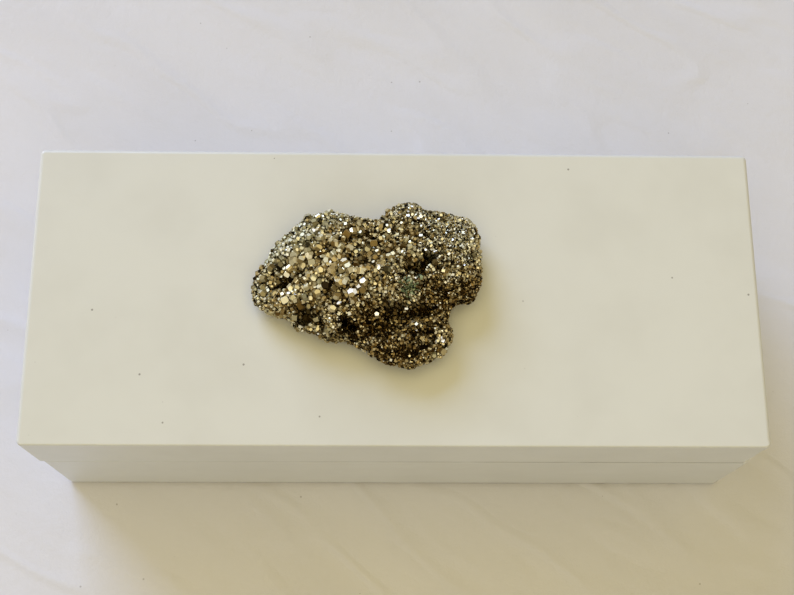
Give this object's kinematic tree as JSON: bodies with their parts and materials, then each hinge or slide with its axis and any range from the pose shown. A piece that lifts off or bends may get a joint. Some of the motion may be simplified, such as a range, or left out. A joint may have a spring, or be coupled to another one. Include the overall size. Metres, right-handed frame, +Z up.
{
  "type": "lidded box",
  "caption": "Long rectangular white lacquered box with a loose lift-off lid, velvet lining and a natural pyrite crystal cluster bedded on top of the lid.",
  "frame": {"origin": "on the table, under the middle of the overall box", "axes": "+X along the box to the right, +Y from the front to the back, +Z up through the lid"},
  "size_m": [0.3066, 0.1284, 0.1197],
  "materials": {
    "lacquer": "satin",
    "neck_velvet": "matte",
    "card": "matte",
    "velvet": "matte",
    "felt": "matte",
    "resin": "gloss",
    "pyrite": "polished"
  },
  "bodies": {
    "base": {"base_front_wall": "lacquer", "base_back_wall": "lacquer", "base_left_wall": "lacquer", "base_right_wall": "lacquer", "base_bottom_panel": "lacquer", "neck_front_board": "neck_velvet", "neck_back_board": "neck_velvet", "neck_left_board": "neck_velvet", "neck_right_board": "neck_velvet", "floor_lining_card": "card", "floor_lining_pad": "velvet", "underside_felt": "felt"},
    "lid": {"lid_top_panel": "lacquer", "lid_front_rail": "lacquer", "lid_back_rail": "lacquer", "lid_left_rail": "lacquer", "lid_right_rail": "lacquer", "lid_lining_card": "card", "lid_lining_pad": "velvet", "adhesive_bed": "resin", "pyrite_cluster": "pyrite"}
  },
  "joints": [
    {"name": "lid_lift", "type": "slide", "parent": "base", "child": "lid", "axis": [0, 0, 1], "range_m": [0, 0.1]}
  ]
}
